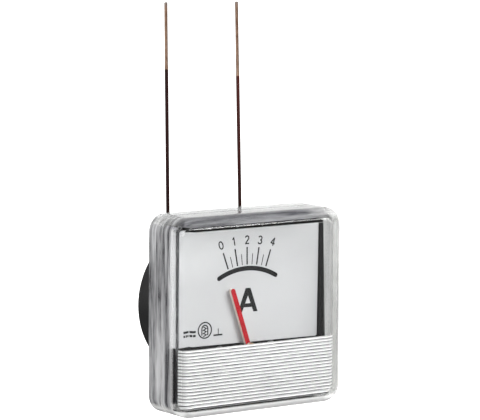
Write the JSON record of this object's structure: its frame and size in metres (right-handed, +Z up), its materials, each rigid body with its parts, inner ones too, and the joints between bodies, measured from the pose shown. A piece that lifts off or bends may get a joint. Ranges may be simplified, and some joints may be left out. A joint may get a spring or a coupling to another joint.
{
  "type": "analog panel meter",
  "caption": "Square panel ammeter with a clear cover, numbered dial, red pointer, round rear barrel and upright wire leads.",
  "frame": {"origin": "centre of the panel seat, in the plane where the cover's rear rim meets the panel", "axes": "+X right as the dial is read, +Y back through the panel along the barrel, +Z up"},
  "size_m": [0.045, 0.0251, 0.0914],
  "materials": {
    "clear_cover": "clear moulded plastic, polished",
    "black_moulding": "fine satin",
    "dial": "matt light grey with printed scale",
    "red_pointer": "satin red",
    "brass": "turned",
    "steel": "ground",
    "aluminium": "sheet",
    "soft_iron": "annealed, dull",
    "bobbin_moulding": "cream moulding",
    "enamelled_copper": "dark brown enamel on copper, scraped bare at the ends",
    "magnet": "sintered, dark grey"
  },
  "bodies": {
    "housing": {"front_cover": "clear_cover", "rear_case": "black_moulding", "rear_cover": "black_moulding", "dial_plate": "dial", "front_bridge": "brass", "bridge_screws": "steel", "front_jewel_screw": "brass", "movement_frame": "aluminium", "frame_screws": "steel", "rear_bridge": "brass", "rear_lock_nut": "brass", "rear_jewel_screw": "brass", "coil_bobbin": "bobbin_moulding", "coil_wire": "enamelled_copper", "magnet_holder": "brass", "control_magnet": "magnet", "screen_cup": "steel"},
    "rotor": {"pointer": "red_pointer", "pointer_hub": "brass", "spindle": "steel", "balance_arm": "aluminium", "balance_weights": "brass", "vane_bush": "brass", "moving_iron": "soft_iron"}
  },
  "joints": [
    {"name": "pointer_swing", "type": "hinge", "parent": "housing", "child": "rotor", "pos_m": [-0.0003, -0.006, -0.0083], "axis": [0, 1, 0], "range_deg": [-2, 37], "stiffness_Nm_per_rad": 0.00002}
  ]
}
